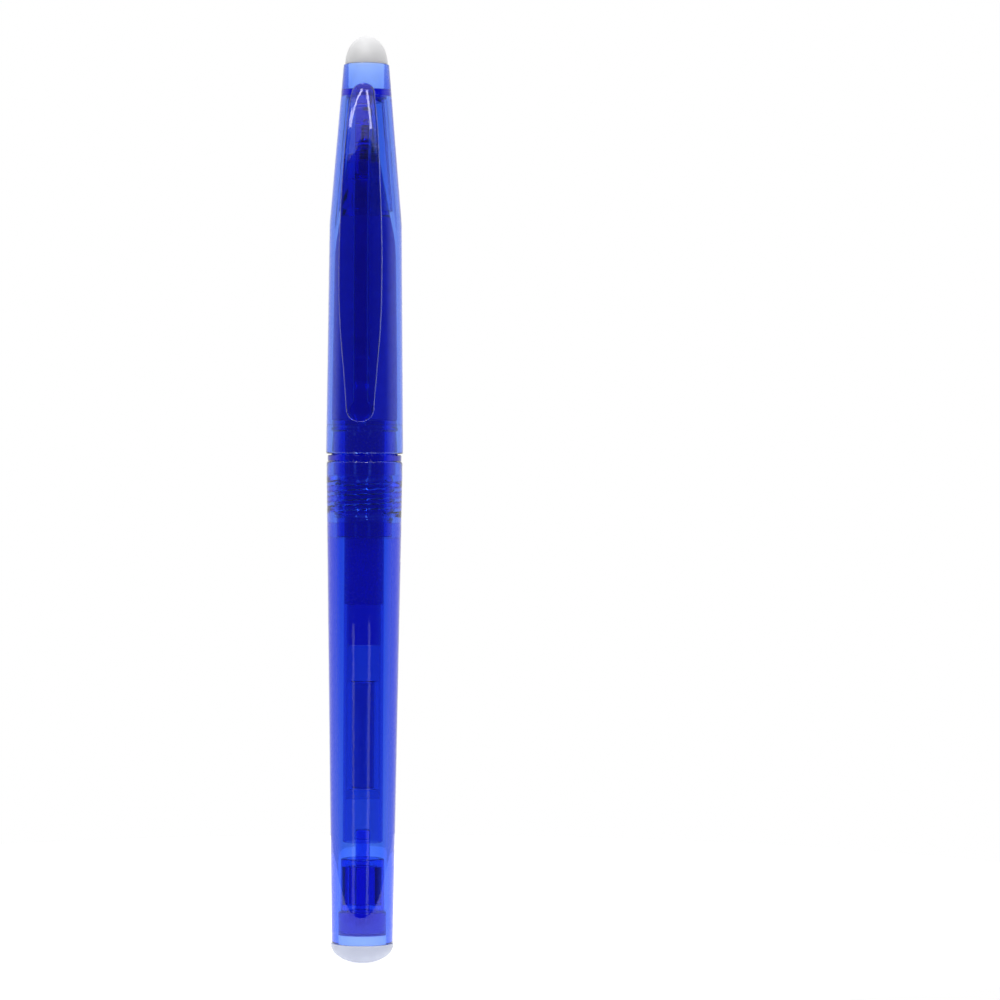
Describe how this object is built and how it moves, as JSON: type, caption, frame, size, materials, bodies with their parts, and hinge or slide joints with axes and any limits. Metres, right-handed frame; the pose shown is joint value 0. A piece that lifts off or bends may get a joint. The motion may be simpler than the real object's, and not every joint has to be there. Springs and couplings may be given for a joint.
{
  "type": "fabric marking pen",
  "caption": "Capped gel-ink fabric marking pen with a clear barrel, rubber grip, pocket clip and soft white eraser tips at both ends.",
  "frame": {"origin": "on the pen's axis at the lowest point of the tail eraser", "axes": "+Z along the pen from the tail to the cap, the clip on the -Y side, +X to the right seen from the clip side"},
  "size_m": [0.0124, 0.0164, 0.1483],
  "materials": {
    "clear_blue": "transparent blue moulded plastic, polished",
    "eraser_white": "soft translucent white elastomer, satin",
    "grip_rubber": "matt blue rubber",
    "refill_plastic": "natural translucent polypropylene",
    "ink": "dark blue liquid",
    "grease": "clear gel",
    "float_plastic": "translucent plastic rod",
    "holder_plastic": "smooth moulded plastic",
    "point_metal": "turned nickel silver",
    "ball_carbide": "polished carbide"
  },
  "bodies": {
    "barrel": {"barrel": "clear_blue", "tail_plug": "clear_blue", "tail_eraser": "eraser_white"},
    "refill": {"refill_tube": "refill_plastic", "ink_column": "ink", "grease_follower": "grease", "follower_float": "float_plastic", "tip_holder": "holder_plastic", "point_body": "point_metal"},
    "section": {"grip_section": "clear_blue", "grip_sleeve": "grip_rubber"},
    "ball": {"point_ball": "ball_carbide"},
    "cap": {"cap_shell": "clear_blue", "cap_eraser": "eraser_white", "inner_cap": "clear_blue"},
    "clip": {"clip_arm": "clear_blue"}
  },
  "joints": [
    {"name": "section_advance", "type": "slide", "parent": "barrel", "child": "refill", "axis": [0, 0, 1], "range_m": [0, 0.0074]},
    {"name": "section_unscrew", "type": "hinge", "parent": "refill", "child": "section", "pos_m": [0, 0, 0.08], "axis": [0, 0, 1], "range_deg": [0, 1665]},
    {"name": "cap_pull", "type": "slide", "parent": "section", "child": "cap", "axis": [0, 0, 1], "range_m": [0, 0.056]},
    {"name": "clip_flex", "type": "hinge", "parent": "cap", "child": "clip", "pos_m": [0, -0.0097, 0.1247], "axis": [-1, 0, 0], "range_deg": [0, 3], "stiffness_Nm_per_rad": 2},
    {"name": "ball_roll", "type": "hinge", "parent": "refill", "child": "ball", "pos_m": [0, 0, 0.13398], "axis": [1, 0, 0], "continuous": true}
  ],
  "couplings": [
    {"joint": "section_unscrew", "follows": "section_advance", "rad_per_m": 3927}
  ]
}
